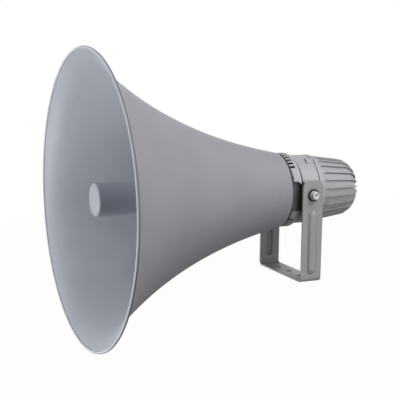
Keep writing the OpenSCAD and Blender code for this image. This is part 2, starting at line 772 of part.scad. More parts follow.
// The bullet in the throat, hollowed to follow the dome, on three thin ribs.
module phase_plug() {
  dome_r = (pow(coil_r, 2) + pow(dome_h, 2)) / (2 * dome_h);
  clearance = 1.2;
  dome_centre_s = flange_s - dome_h + dome_r;
  plug_r = coil_r - 4;
  rib_t = 2;
  tip_s = bulkhead_back_s - 6;
  bore_slope = (coil_r + 1.5 - throat_r) / phase_plate_t;
  rib_s0 = bulkhead_back_s + 1;
  rib_s1 = chamber_s - 4;
  color(plastic_grey) on_axis() difference() {
    union() {
      rotate_extrude($fn = round_fn) polygon([
        [0, tip_s], [1.5, tip_s + 0.6], [plug_r * 0.55, bulkhead_back_s],
        [plug_r * 0.86, (bulkhead_back_s + chamber_s) / 2], [plug_r, chamber_s - 1],
        [plug_r, chamber_s], [0, chamber_s]]);
      around(third_angles, 0) translate([0, rib_t / 2, 0]) rotate([90, 0, 0])
        linear_extrude(height = rib_t) polygon([
          [2, rib_s0], [throat_r + bore_slope * 1 - run_gap, rib_s0],
          [throat_r + bore_slope * (rib_s1 - bulkhead_back_s) - run_gap, rib_s1],
          [2, rib_s1]]);
    }
    translate([0, 0, dome_centre_s]) sphere(r = dome_r + clearance, $fn = round_fn);
  }
}

// Height of the diaphragm over its flange: a dome, a flat for the coil, and one roll.
function diaphragm_z(r) =
  let (dome_r = (pow(coil_r, 2) + pow(dome_h, 2)) / (2 * dome_h),
       roll_in = coil_r + coil_t + 1, roll_w = chamber_r - 8 - roll_in)
  r < coil_r ? sqrt(pow(dome_r, 2) - pow(r, 2)) - (dome_r - dome_h) :
  r < roll_in || r > roll_in + roll_w ? 0 : -1.4 * sin(180 * (r - roll_in) / roll_w);

module diaphragm() {
  edge_r = chamber_r - seat_gap;
  radii = concat([for (i = [0 : 10]) coil_r * i / 10],
    [for (i = [0 : 12]) coil_r + coil_t + 1 + (chamber_r - 8 - coil_r - coil_t - 1) * i / 12],
    [edge_r]);
  color([0.75, 0.62, 0.40]) on_axis(flange_s) rotate_extrude($fn = round_fn)
    polygon(concat([for (r = radii) [r, -diaphragm_z(r)]],
      [for (i = [len(radii) - 1 : -1 : 0]) [radii[i], dome_t - diaphragm_z(radii[i])]]));
}

// The clamping ring in front of the diaphragm's edge, and the spacer behind it.
module diaphragm_ring() {
  edge_r = chamber_r - seat_gap;
  inner_r = chamber_r - 7;
  color(plastic_grey) on_axis() {
    translate([0, 0, chamber_s]) ring(edge_r, inner_r, clamp_t);
    translate([0, 0, flange_s + dome_t]) ring(edge_r, inner_r, top_plate_s - flange_s - dome_t);
  }
}

module voice_coil() {
  color([0.72, 0.43, 0.25]) on_axis(flange_s + dome_t) ring(coil_r + coil_t, coil_r, coil_len);
}

module top_plate() {
  color(dark_steel) on_axis(top_plate_s) difference() {
    ring(plate_r, coil_r + coil_t + coil_gap, top_plate_t);
    around(quarter_angles, motor_screw_r) translate([0, 0, -1])
      cylinder(d = bore_screw_d, h = top_plate_t + 2, $fn = small_fn);
  }
}

module ring_magnet() {
  color([0.22, 0.22, 0.23]) on_axis(magnet_s) ring(magnet_r, magnet_bore_r, magnet_t);
}

module yoke() {
  color(dark_steel) on_axis() difference() {
    union() {
      translate([0, 0, back_plate_s]) cylinder(r = back_plate_r, h = back_plate_t, $fn = round_fn);
      translate([0, 0, top_plate_s])
        cylinder(r = coil_r - coil_gap, h = back_plate_s - top_plate_s + 1, $fn = round_fn);
    }
    clamp_screw_places() translate([0, 0, -small_grip - tap_room])
      cylinder(d = small_tap_d, h = small_grip + 1, $fn = small_fn);
  }
}

module motor_screws() {
  stack = top_plate_t + chamber_t + phase_plate_t;
  color(zinc) on_axis() around(quarter_angles, motor_screw_r) translate([0, 0, magnet_s])
    pan_screw(screw_d, screw_head_d, screw_head_h, stack + screw_grip);
}

// The transformer.
window_w = (core_w - 4 * core_leg) / 2;

// The four places of the clamp screws, on the back plate.
module clamp_screw_places() {
  screw_x = core_w / 2 + clamp_sheet_t + clamp_foot / 2;
  screw_y = core_h / 2 - clamp_screw_inset;
  for (x = [-screw_x, screw_x])
    for (y = [-screw_y, screw_y])
      translate([x, y, back_plate_end_s]) children();
}

module transformer_core() {
  color(dark_steel) on_axis(core_s) difference() {
    translate([-core_w / 2, -core_h / 2, 0]) cube([core_w, core_h, core_t]);
    for (x = [-core_leg - window_w, core_leg])
      translate([x, -core_h / 2 + core_leg, -1])
        cube([window_w, core_h - 2 * core_leg, core_t + 2]);
  }
}

// The winding fills both windows and stands out in front and behind.
module transformer_winding() {
  half_x = core_leg + window_w - seat_gap;
  half_y = core_h / 2 - core_leg - seat_gap;
  color([0.80, 0.72, 0.45]) on_axis() difference() {
    translate([-half_x, -half_y, core_s - winding_out])
      cube([2 * half_x, 2 * half_y, core_t + 2 * winding_out]);
    translate([-core_leg - seat_gap, -core_h / 2, core_s - seat_gap])
      cube([2 * (core_leg + seat_gap), core_h, core_t + 2 * seat_gap]);
  }
}

// A bent strap on each side holds the core down on the back plate.
module transformer_clamps() {
  side_x = core_w / 2;
  strap_h = core_h - 8;
  lip = core_leg - 2;
  top_s = core_end_s + clamp_sheet_t;
  color(zinc) on_axis() both_sides() difference() {
    translate([0, strap_h / 2, 0]) rotate([90, 0, 0]) linear_extrude(height = strap_h)
      polygon([[side_x + clamp_sheet_t + clamp_foot, back_plate_end_s], [side_x, back_plate_end_s],
        [side_x, core_end_s], [side_x - lip, core_end_s], [side_x - lip, top_s],
        [side_x + clamp_sheet_t, top_s], [side_x + clamp_sheet_t, back_plate_end_s + clamp_sheet_t],
        [side_x + clamp_sheet_t + clamp_foot, back_plate_end_s + clamp_sheet_t]]);
    clamp_screw_places() translate([0, 0, -1])
      cylinder(d = small_d + 2 * hole_gap, h = clamp_sheet_t + 2, $fn = small_fn);
  }
}

module clamp_screws() {
  color(zinc) on_axis() clamp_screw_places() translate([0, 0, clamp_sheet_t])
    pan_screw(small_d, small_head_d, small_head_h, clamp_sheet_t + small_grip);
}

// The screw block on top of the core, with a wire hole under each screw.
module terminal_block() {
  color([0.12, 0.12, 0.13]) on_axis(core_s) difference() {
    translate([-block_l / 2, -core_h / 2 - block_h, 2]) cube([block_l, block_h, block_w]);
    terminal_places() translate([0, 0, -block_h]) cylinder(d = small_tap_d, h = block_h, $fn = small_fn);
    for (x = [-1 : 1]) translate([x * block_l / 3, -core_h / 2 - block_h * 0.4, 0])
      cylinder(d = 2.4, h = block_w + 4, $fn = small_fn);
  }
}

module terminal_places() {
  for (x = [-1 : 1])
    translate([x * block_l / 3, -core_h / 2 - block_h, 2 + block_w / 2]) rotate([90, 0, 0]) children();
}

module terminal_screws() {
  color([0.78, 0.66, 0.36]) on_axis(core_s) terminal_places()
    pan_screw(small_d, small_head_d, small_head_h, block_h / 4);
}

// The cable gland.
gland_neck_r = gland_d / 2 - 1;
seal_r = gland_neck_r - 1.6;

module gland_body() {
  tail = wall + 1.5 * locknut_t;
  color(dark_steel) on_axis(cover_end_s) translate([0, gland_drop, 0]) difference() {
    union() {
      hexagon(gland_af, gland_hex_h);
      translate([0, 0, -tail]) cylinder(d = gland_d, h = tail + 1, $fn = round_fn);
      translate([0, 0, gland_hex_h - 1])
        cylinder(r = gland_neck_r, h = seal_len + 1, $fn = round_fn);
    }
    translate([0, 0, -tail - 1])
      cylinder(d = seal_bore + 1, h = tail + gland_hex_h + 2, $fn = round_fn);
    translate([0, 0, gland_hex_h]) cylinder(r = seal_r, h = seal_len + 1, $fn = round_fn);
  }
}

module gland_seal() {
  color(black_rubber) on_axis(cover_end_s + gland_hex_h) translate([0, gland_drop, 0])
    ring(seal_r - run_gap, seal_bore / 2, seal_len);
}

module gland_nut() {
  dome = 2;
  color(dark_steel) on_axis(cover_end_s + gland_hex_h) translate([0, gland_drop, 0]) difference() {
    rotate_extrude($fn = round_fn) polygon([
      [0, 0], [gland_neck_r + 1.6, 0], [gland_neck_r + 1.6, gland_nut_h - dome],
      [gland_neck_r - 0.6, gland_nut_h], [0, gland_nut_h]]);
    translate([0, 0, -1])
      cylinder(r = gland_neck_r + run_gap, h = seal_len + 1 + run_gap, $fn = round_fn);
    cylinder(d = seal_bore + 1, h = gland_nut_h + 1, $fn = round_fn);
  }
}

module gland_locknut() {
  color(dark_steel) on_axis(cover_end_s - wall - locknut_t) translate([0, gland_drop, 0]) difference() {
    hexagon(gland_af + 2, locknut_t);
    translate([0, 0, -1]) cylinder(d = gland_d + 2 * run_gap, h = locknut_t + 2, $fn = round_fn);
  }
}

// The bracket.

// Front view of the bent strip: a U with rounded bends.
module strip_profile(inset) {
  half = arm_out_x - inset;
  r = bend_r - inset;
  top = pivot_h + arm_over + inset;
  translate([-half + r, inset]) square([2 * (half - r), top - inset]);
  translate([-half, inset + r]) square([2 * half, top - inset - r]);
  for (x = [-half + r, half - r]) translate([x, inset + r]) circle(r = r, $fn = round_fn);
}

// Side view of the strip, with the arm ends rounded at both corners.
module strip_side() {
  top = pivot_h + arm_over;
  flat = strip_w / 2 - arm_corner;
  translate([-strip_w / 2, -1]) square([strip_w, top - arm_corner + 1]);
  translate([-flat, 0]) square([2 * flat, top]);
  for (y = [-flat, flat]) translate([y, top - arm_corner]) circle(r = arm_corner, $fn = round_fn);
}

// The pressed bead is part of a round bar with ball ends, sunk into the arm.
module bead_bar(r) {
  low = bead_foot_gap + bead_w / 2;
  high = pivot_h - bead_top_gap - bead_w / 2;
  translate([bead_axis_x, 0, 0]) {
    translate([0, 0, low]) cylinder(r = r, h = high - low, $fn = round_fn);
    translate([0, 0, low]) sphere(r = r, $fn = round_fn);
    translate([0, 0, high]) sphere(r = r, $fn = round_fn);
  }
}

module u_bracket() {
  color(steel_grey) difference() {
    union() {
      intersection() {
        translate([0, strip_w, 0]) rotate([90, 0, 0]) linear_extrude(height = 2 * strip_w)
          difference() {
            strip_profile(0);
            strip_profile(strip_t);
          }
        rotate([90, 0, 90]) translate([0, 0, -2 * arm_out_x]) linear_extrude(height = 4 * arm_out_x)
          strip_side();
      }
      both_sides() intersection() {
        bead_bar(bead_arc_r);
        translate([arm_out_x - strip_t / 2, -strip_w / 2, 0]) cube([strip_t + bead_h, strip_w, pivot_h]);
      }
    }
    both_sides() intersection() {
      bead_bar(bead_arc_r - strip_t);
      translate([arm_in_x - 1, -strip_w / 2, 0]) cube([strip_t + bead_h, strip_w, pivot_h]);
    }
    both_sides() translate([arm_in_x - 1, 0, pivot_h]) rotate([0, 90, 0])
      cylinder(d = bolt_d + 2 * run_gap, h = strip_t + 2, $fn = round_fn);
    translate([0, 0, -1]) cylinder(d = foot_hole_d, h = strip_t + 2, $fn = round_fn);
    for (x = [-side_hole_pitch / 2, side_hole_pitch / 2]) translate([x, 0, -1])
      cylinder(d = side_hole_d, h = strip_t + 2, $fn = round_fn);
  }
}

// The pivot hardware.
friction_x = arm_out_x + run_gap;
plain_x = friction_x + friction_t;
spring_x = plain_x + washer_t;
head_x = spring_x + spring_t;

// Places its children on the tilt axis on both sides, with Z pointing outwards.
module on_pivot(x) {
  both_sides() translate([x, 0, pivot_h]) rotate([0, 90, 0]) children();
}

module pivot_bolts() {
  shank = head_x - boss_face_x + bolt_grip;
  color(zinc) on_pivot(head_x) {
    intersection() {
      hexagon(bolt_af, bolt_head_h);
      cylinder(r1 = bolt_af, r2 = bolt_af / 2 * 0.95 + 0.6, h = bolt_head_h, $fn = round_fn);
    }
    translate([0, 0, -shank]) cylinder(d = bolt_d, h = shank + 1, $fn = round_fn);
  }
}

module spring_washers() {
  color(zinc) on_pivot(spring_x) difference() {
    ring(washer_d / 2 - 0.7, bolt_d / 2 + hole_gap, spring_t);
    translate([0, -0.8, -1]) rotate([20, 0, 0]) cube([washer_d, 1.6, 2 * spring_t + 2]);
  }
}

module plain_washers() {
  color(zinc) on_pivot(plain_x) ring(washer_d / 2, bolt_d / 2 + hole_gap, washer_t);
}

module friction_washers() {
  color(black_rubber) on_pivot(friction_x) ring(friction_d / 2, bolt_d / 2 + run_gap, friction_t);
}

u_bracket();
horn_bell();
reflector_tube();
throat_tube();
front_spider();
back_spider();
reflector_screws();
throat_screws();
neck_gasket();
neck_screws();
driver_housing();
joint_gasket();
rear_cover();
cover_screws();
phase_plate();
phase_plug();
diaphragm();
diaphragm_ring();
voice_coil();
top_plate();
ring_magnet();
yoke();
motor_screws();
transformer_core();
transformer_winding();
transformer_clamps();
clamp_screws();
terminal_block();
terminal_screws();
gland_body();
gland_seal();
gland_nut();
gland_locknut();
pivot_bolts();
spring_washers();
plain_washers();
friction_washers();
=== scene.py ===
# %% [markdown]
# This lesson dresses a public-address horn: a big folded horn of spun aluminium, its driver
# in a finned casting behind it, and the steel bracket that it tilts in.
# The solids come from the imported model, at their real size and place. Blender gives them their
# finishes, and finer surfaces where a sheet or a screw head is looked at closely.
# Everything is in metres, with the mouth towards -Y and the bracket's foot at the origin.

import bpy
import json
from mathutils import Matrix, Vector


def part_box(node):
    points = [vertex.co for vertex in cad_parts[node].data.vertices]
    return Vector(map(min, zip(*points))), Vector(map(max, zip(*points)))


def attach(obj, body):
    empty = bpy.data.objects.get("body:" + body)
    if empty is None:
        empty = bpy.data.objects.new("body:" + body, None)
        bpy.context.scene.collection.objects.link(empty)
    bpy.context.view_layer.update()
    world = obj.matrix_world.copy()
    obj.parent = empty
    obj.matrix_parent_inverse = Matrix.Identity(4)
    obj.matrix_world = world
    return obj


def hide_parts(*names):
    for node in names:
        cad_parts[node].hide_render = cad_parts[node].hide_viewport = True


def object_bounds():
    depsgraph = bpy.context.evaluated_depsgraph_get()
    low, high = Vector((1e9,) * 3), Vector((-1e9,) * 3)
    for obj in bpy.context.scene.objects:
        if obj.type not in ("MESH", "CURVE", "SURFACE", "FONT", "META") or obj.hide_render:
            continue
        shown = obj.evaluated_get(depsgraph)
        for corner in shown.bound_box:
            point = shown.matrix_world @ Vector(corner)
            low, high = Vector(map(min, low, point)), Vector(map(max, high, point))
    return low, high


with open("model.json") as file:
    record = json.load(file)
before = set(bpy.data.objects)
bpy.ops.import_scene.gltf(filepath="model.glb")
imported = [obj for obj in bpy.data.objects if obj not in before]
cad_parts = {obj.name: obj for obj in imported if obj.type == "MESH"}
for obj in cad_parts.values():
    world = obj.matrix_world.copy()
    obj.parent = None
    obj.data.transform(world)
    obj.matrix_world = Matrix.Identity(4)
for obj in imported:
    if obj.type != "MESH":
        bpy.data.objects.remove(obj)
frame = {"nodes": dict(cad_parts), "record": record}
cad_box = [list(corner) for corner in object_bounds()]

import json
import math

import bpy
import numpy as np
from mathutils import Matrix

MM = 0.001
print("frame:", len(frame["nodes"]), "nodes, box", np.round(cad_box, 3).tolist())

# %% [markdown]
# The camera repeats the view that the photograph was taken from. Its place is given from the
# tilt axis, because that is the point that the horn, the arms and the bolts share. The focal
# length is in pixels of a 400-pixel picture, so it becomes a lens by the sensor's width.

# %% Camera
PICTURE_SIDE = 400
FOCAL_PIXELS = 991.5
SENSOR_WIDTH_MM = 36
AZIMUTH = math.radians(65.63)
ELEVATION = math.radians(9.16)
ROLL = math.radians(0.8)
CAMERA_FROM_PIVOT = np.array([1.562, -0.8899, 0.266])

housing_low, housing_high = (np.array(corner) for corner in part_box("driver_housing"))
AXIS_Z = float((housing_low[2] + housing_high[2]) / 2)
PIVOT = np.array([0.0, 0.0, AXIS_Z])

camera = bpy.data.objects.new("camera", bpy.data.cameras.new("camera"))
bpy.context.scene.collection.objects.link(camera)
camera.location = PIVOT + CAMERA_FROM_PIVOT
turn = (
    Matrix.Rotation(AZIMUTH, 3, "Z")
    @ Matrix.Rotation(math.pi / 2 - ELEVATION, 3, "X")
    @ Matrix.Rotation(ROLL, 3, "Z")
)
camera.rotation_euler = turn.to_euler()
camera.data.sensor_width = SENSOR_WIDTH_MM
camera.data.lens = FOCAL_PIXELS / PICTURE_SIDE * SENSOR_WIDTH_MM
bpy.context.scene.camera = camera
print("camera: lens", round(camera.data.lens, 1), "mm, pivot", PIVOT.round(4).tolist())

# %% [markdown]
# The stage is a pale floor well under the horn and a white surround. A horn like this hangs on
# a wall or pole, so nothing touches the floor, and it only catches a faint shadow.
# Every new mesh in this lesson is made by the same helper, from whole arrays of points.

# %% Stage
FLOOR_DROP = 1.1
FLOOR_SIZE = 14.0


def new_piece(name, points, faces):
    """A mesh object from points, an (n, 3) array, and faces, a list of lists of point numbers."""
    mesh = bpy.data.meshes.new(name)
    mesh.from_pydata(points.tolist(), [], faces)
    mesh.validate()
    piece = bpy.data.objects.new(name, mesh)
    bpy.context.scene.collection.objects.link(piece)
    return piece


half = FLOOR_SIZE / 2
floor_z = cad_box[0][2] - FLOOR_DROP
floor_corners = [[-half, -half, floor_z], [half, -half, floor_z],
                 [half, half, floor_z], [-half, half, floor_z]]
floor = new_piece("floor", np.array(floor_corners), [[0, 1, 2, 3]])
bpy.context.scene.view_settings.view_transform = "Standard"
print("floor at", round(floor_z, 3), "m")

# %% [markdown]
# Shader maths reads best as plain expressions, so a small class wraps a socket and turns
# + - * into Math nodes, and a Finish holds one material with a single method that adds any
# other node. Numbers alone never pass through nodes: they are worked out here and written on
# the shader's own sockets.


# %% Shader helpers
class Signal:
    """A number that varies over the surface: the output socket of a node."""

    def __init__(self, socket):
        self.socket = socket

    def math(self, operation, first, second=0.0):
        tree = self.socket.id_data
        node = tree.nodes.new("ShaderNodeMath")
        node.operation = operation
        for slot, value in zip(node.inputs, (first, second)):
            plug(tree, slot, value)
        return Signal(node.outputs[0])

    def __add__(self, other):
        return self.math("ADD", self, other)

    def __sub__(self, other):
        return self.math("SUBTRACT", self, other)

    def __rsub__(self, other):
        return self.math("SUBTRACT", other, self)

    def __mul__(self, other):
        return self.math("MULTIPLY", self, other)

    __radd__ = __add__
    __rmul__ = __mul__


def plug(tree, slot, value):
    """Links a Signal to a socket, or writes a plain value on it."""
    if isinstance(value, Signal):
        tree.links.new(value.socket, slot)
    else:
        slot.default_value = value


class Finish:
    """One material or world, with its nodes made through node()."""

    def __init__(self, owner):
        owner.use_nodes = True
        self.owner = owner
        self.tree = owner.node_tree
        self.tree.nodes.clear()

    def node(self, kind, settings=None, output=0, stops=None, **inputs):
        """Adds a node. settings are its own options, inputs the values or links by socket name."""
        node = self.tree.nodes.new(kind)
        for key, value in (settings or {}).items():
            setattr(node, key, value)
        if stops:
            elements = node.color_ramp.elements
            while len(elements) < len(stops):
                elements.new(1.0)
            for element, (place, colour) in zip(elements, stops):
                element.position = place
                element.color = colour
        for key, value in inputs.items():
            plug(self.tree, node.inputs[key.replace("_", " ")], value)
        return Signal(node.outputs[output]) if len(node.outputs) else node


def linear(red, green, blue):
    """A colour given as 0 to 255 picture values, as the linear numbers that shaders take."""
    values = np.array([red, green, blue]) / 255
    line = np.where(values <= 0.04045, values / 12.92, ((values + 0.055) / 1.055) ** 2.4)
    return (*line.tolist(), 1.0)


# %% [markdown]
# A white background would wash the horn out if it also lit it. The Light Path node tells what
# kind of ray asks for the colour: rays from the camera and from mirrors get full white, and all
# others a plain low level. The floor does the same with a Mix Shader, between a grey that takes
# the light and a white that is only seen. The little grey that is left for the camera keeps the
# shadow, and mirrors get less of the white, because a bright floor would light the underside.

# %% World and floor finish
SURROUND_LIGHT = 0.02
FLOOR_GREY = 0.2
FLOOR_SEEN_WHITE, FLOOR_MIRRORED_WHITE = 0.98, 0.25
WHITE = (1, 1, 1, 1)
CAMERA_RAY, GLOSSY_RAY = 0, 3


def ray_kind(finish, kind):
    """1 for one kind of ray and 0 for the others."""
    return finish.node("ShaderNodeLightPath", output=kind)


world = bpy.data.worlds.new("surround")
bpy.context.scene.world = world
surround = Finish(world)
seen = ray_kind(surround, CAMERA_RAY) + ray_kind(surround, GLOSSY_RAY)
glow = surround.node(
    "ShaderNodeBackground", Color=WHITE, Strength=seen * (1 - SURROUND_LIGHT) + SURROUND_LIGHT
)
surround.node("ShaderNodeOutputWorld", Surface=glow)

paper = Finish(bpy.data.materials.new("pale_floor"))
matt = paper.node("ShaderNodeBsdfDiffuse", Color=(FLOOR_GREY, FLOOR_GREY, FLOOR_GREY, 1))
shine = paper.node("ShaderNodeEmission", Color=WHITE, Strength=1.0)
white_share = (
    ray_kind(paper, CAMERA_RAY) * FLOOR_SEEN_WHITE
    + ray_kind(paper, GLOSSY_RAY) * FLOOR_MIRRORED_WHITE
)
mixed = paper.node("ShaderNodeMixShader", Fac=white_share)
for slot, part in zip(mixed.socket.node.inputs[1:], (matt, shine)):
    plug(paper.tree, slot, part)
paper.node("ShaderNodeOutputMaterial", Surface=mixed)
floor.data.materials.append(paper.owner)
print("surround lights at", SURROUND_LIGHT, "and is seen white")

# %% [markdown]
# The light is that of a product table. A broad lamp above and behind the camera brightens the
# top of the flare, one at the side reaches the bracket and the housing, and two in front of the
# mouth, high and low, light its inside. The underside stays dark, and that shading shows the
# flare's roundness. One more lamp lights the side that the photograph doesn't show.

# %% Lamps
COOL = (0.91, 0.965, 1.0)
HORN_MIDDLE = (0, -0.15, AXIS_Z)


def soft_lamp(name, place, size, power, tint=(1, 1, 1)):
    """A square area lamp at a place, turned to the middle of the horn."""
    lamp = bpy.data.objects.new(name, bpy.data.lights.new(name, "AREA"))
    lamp.data.size = size
    lamp.data.energy = power
    lamp.data.color = tint
    lamp.location = place
    aim = np.array(HORN_MIDDLE, float) - np.array(place, float)
    aim /= np.linalg.norm(aim)
    lamp.rotation_euler = (math.acos(-aim[2]), 0, math.atan2(aim[1], aim[0]) - math.pi / 2)
    bpy.context.scene.collection.objects.link(lamp)


soft_lamp("top_lamp", (1.5, 0.8, 2.3), 1.4, 33)
soft_lamp("side_lamp", (2.6, 0.0, 0.5), 1.4, 20)
soft_lamp("front_lamp", (0.0, -2.2, 2.0), 1.4, 17, tint=COOL)
soft_lamp("mouth_lamp", (-0.6, -2.3, -0.65), 1.0, 41, tint=COOL)
soft_lamp("far_lamp", (-3.0, 0.4, 0.5), 1.4, 26)
print("lamps: top, side, front, mouth and far side")

# %% [markdown]
# Every finish below is built from the piece's own coordinates, which are metres here, so a
# grain of 0.8 mm is a texture scale of 1 / 0.0008. These helpers are the words that the finishes
# are written in: a noise of a given size, a colour between two, a relief of a given depth.
# Bevel rounds the shading at each edge, as a film of paint does.

# %% Coat helpers
EDGE_RADIUS = 0.7 * MM
OBJECT_PLACE, OWN_NORMAL = 3, 1
ALONG_AXIS = 1


def surface(name):
    """A new material with the object's coordinates, as (Finish, coordinates)."""
    finish = Finish(bpy.data.materials.new(name))
    return finish, finish.node("ShaderNodeTexCoord", output=OBJECT_PLACE)


def axis_of(finish, vector, axis):
    """One of a vector's three numbers: 0 across the horn, 1 along it, 2 up."""
    return finish.node("ShaderNodeSeparateXYZ", output=axis, Vector=vector)


def noise(finish, place, size, detail=2.0):
    """Noise from 0 to 1 whose patches are about size metres across."""
    return finish.node("ShaderNodeTexNoise", Vector=place, Scale=1 / size, Detail=detail)


def tinted(finish, amount, dark, light):
    """A colour between two, where amount runs from 0.3 to 0.7 as noise does."""
    return finish.node("ShaderNodeValToRGB", stops=[(0.3, dark), (0.7, light)], Fac=amount)


def uneven(amount, middle, spread):
    """A roughness that strays to both sides of its middle value as amount goes from 0 to 1."""
    return amount * spread + (middle - spread / 2)


def rounded(finish, radius):
    """The normal of a surface whose edges are rounded to a radius in metres."""
    return finish.node("ShaderNodeBevel", {"samples": 6}, Radius=radius)


def relief(finish, height, depth, after=None):
    """A bump of height 0 to 1 that stands depth metres, on top of an earlier normal."""
    extra = {} if after is None else {"Normal": after}
    return finish.node("ShaderNodeBump", Strength=1.0, Distance=depth, Height=height, **extra)


def closed(finish, **inputs):
    """Ends a material with one Principled shader that takes these inputs."""
    shader = finish.node("ShaderNodeBsdfPrincipled", **inputs)
    finish.node("ShaderNodeOutputMaterial", Surface=shader)
    return finish.owner


# %% [markdown]
# The Ambient Occlusion node measures how far a spot is shut in by other faces: 1 in the open,
# towards 0 in a recess. Where it finds one, the coat gets painted shade: a wide reach finds the
# casting's hollows, and a short one finds the narrow crease at the foot of the bracket's pressed
# bead, which gets a thin line of painted shade.
# The casting's two side pockets are nearly black in the photograph, so their flat floors are
# darkened by place as well.

# %% Recesses
# The colour of painted shade, used in the casting's recesses, in narrow creases and behind the
# rim, and the openness at which the recess shade is full and none.
PAINTED_SHADE = linear(58, 58, 60)
SHADE_FULL, SHADE_NONE = 0.2, 0.62
# The line of painted shade in narrow creases: its reach, the openness where it is full and none,
# and how dark it gets.
CREASE_REACH, CREASE_FULL, CREASE_NONE, CREASE_DARK = 12 * MM, 0.6, 0.95, 0.7
POCKET_X, POCKET_Y, POCKET_HALF_HEIGHT, POCKET_DARK = 58.8 * MM, -11.2 * MM, 31 * MM, 0.8


def openness(finish, reach):
    """1 in the open, less where other faces within reach metres shut a spot in."""
    return finish.node("ShaderNodeAmbientOcclusion", {"samples": 8}, output=1, Distance=reach)


def ramp(finish, value, start, end):
    """0 before start, 1 past end, and a straight line between."""
    return finish.node("ShaderNodeMapRange", Value=value, From_Min=start, From_Max=end)


def blend(finish, amount, first, second):
    """The first colour where amount is 0, the second where it is 1."""
    return finish.node("ShaderNodeMixRGB", Fac=amount, Color1=first, Color2=second)


def below(signal, limit):
    """1 where a signal is under its limit, 0 elsewhere."""
    return signal.math("LESS_THAN", signal, limit)


def pocket_floors(finish, place):
    """1 on the flat floors of the casting's two side pockets, in front of the trunnions."""
    across, along, up = (axis_of(finish, place, axis) for axis in range(3))
    side = across.math("ABSOLUTE", across)
    height = up - AXIS_Z
    height = height.math("ABSOLUTE", height)
    return below(side, POCKET_X) * below(height, POCKET_HALF_HEIGHT) * below(along, POCKET_Y)


def recess_shaded(finish, place, coat, reach):
    """A coat with painted shade in a casting's recesses, and most on its pocket floors."""
    # Painted shade: darker where Ambient Occlusion finds a recess, and darker still on the pocket
    # floors.
    unshaded = ramp(finish, openness(finish, reach), SHADE_FULL, SHADE_NONE)
    unshaded = unshaded * (1 - pocket_floors(finish, place) * POCKET_DARK)
    return blend(finish, unshaded, PAINTED_SHADE, coat)


def crease_shaded(finish, coat):
    """A coat with a line of painted shade in narrow creases, such as the foot of a pressed bead.
    """
    shut = ramp(finish, openness(finish, CREASE_REACH), CREASE_NONE, CREASE_FULL)
    return blend(finish, shut * CREASE_DARK, coat, PAINTED_SHADE)


print("recesses: pocket floors within", POCKET_X, "m of the middle")

# %% [markdown]
# The bell's rim is rolled into a round bead, which shows as two thin lines. Its front gets a
# painted highlight, a paler colour. The bead's side and the crease behind it get painted shade,
# which fades out along the flare. Both are masks on the distance from the mouth, and the object's
# own normal keeps the painted shade off the inside of the bell.

# %% Rolled rim
# A painted highlight on the front of the rim's bead, and painted shade on its side and in the
# crease behind it.
RIM_HIGHLIGHT = linear(222, 224, 232)
HIGHLIGHT_TO, CREASE_START, CREASE_END = 1.4 * MM, 7.1 * MM, 11.1 * MM
HIGHLIGHT_AMOUNT, RIM_CREASE_DARK = 0.6, 0.62
FRONT_NORMAL_Y = -0.25

bell_low, bell_high = (np.array(corner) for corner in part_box("horn_bell"))
MOUTH_Y, NECK_Y = float(bell_low[1]), float(bell_high[1])


def rim_highlight_and_shade(finish, place, coat):
    """A coat with a painted highlight on the front of the rolled rim, and painted shade on its
    side and behind it.
    """
    own_normal = finish.node("ShaderNodeTexCoord", output=OWN_NORMAL)
    along = axis_of(finish, place, ALONG_AXIS)
    faded = ramp(finish, along, MOUTH_Y + CREASE_START, MOUTH_Y + CREASE_END)
    highlighted = below(along, MOUTH_Y + HIGHLIGHT_TO)
    faces_front = below(axis_of(finish, own_normal, ALONG_AXIS), FRONT_NORMAL_Y)
    dark = (1 - faded) * (1 - highlighted) * (1 - faces_front)
    # Painted highlight on the bead's front.
    coat = blend(finish, highlighted * HIGHLIGHT_AMOUNT, coat, RIM_HIGHLIGHT)
    # Painted shade on the bead's side and behind it, kept off the inside.
    return blend(finish, dark * RIM_CREASE_DARK, coat, PAINTED_SHADE)


print("rim: pale to", HIGHLIGHT_TO / MM, "mm, dark to", CREASE_END / MM, "mm behind the mouth")

# %% [markdown]
# Powder coat is a plastic film over metal. It is a diffuse grey with a soft gloss, a fine
# orange-peel relief where the powder flowed together, and slow changes of gloss where the film
# is thicker or has been handled. The bell was spun over a former before it was coated, and the
# faint rings of that are a noise that changes along the axis only.

# %% Powder coat
CLOUD_SIZE, PEEL_SIZE, GRAIN_SIZE = 90 * MM, 1.3 * MM, 0.45 * MM
PEEL_DEPTH, GRAIN_DEPTH = 0.045 * MM, 0.018 * MM
DARKER_BY, LIGHTER_BY = 5, 4
GLOSS_SPREAD, GRAIN_ROUGHNESS = 0.16, 0.05
SPUN_RINGS_PER_METRE = 170.0


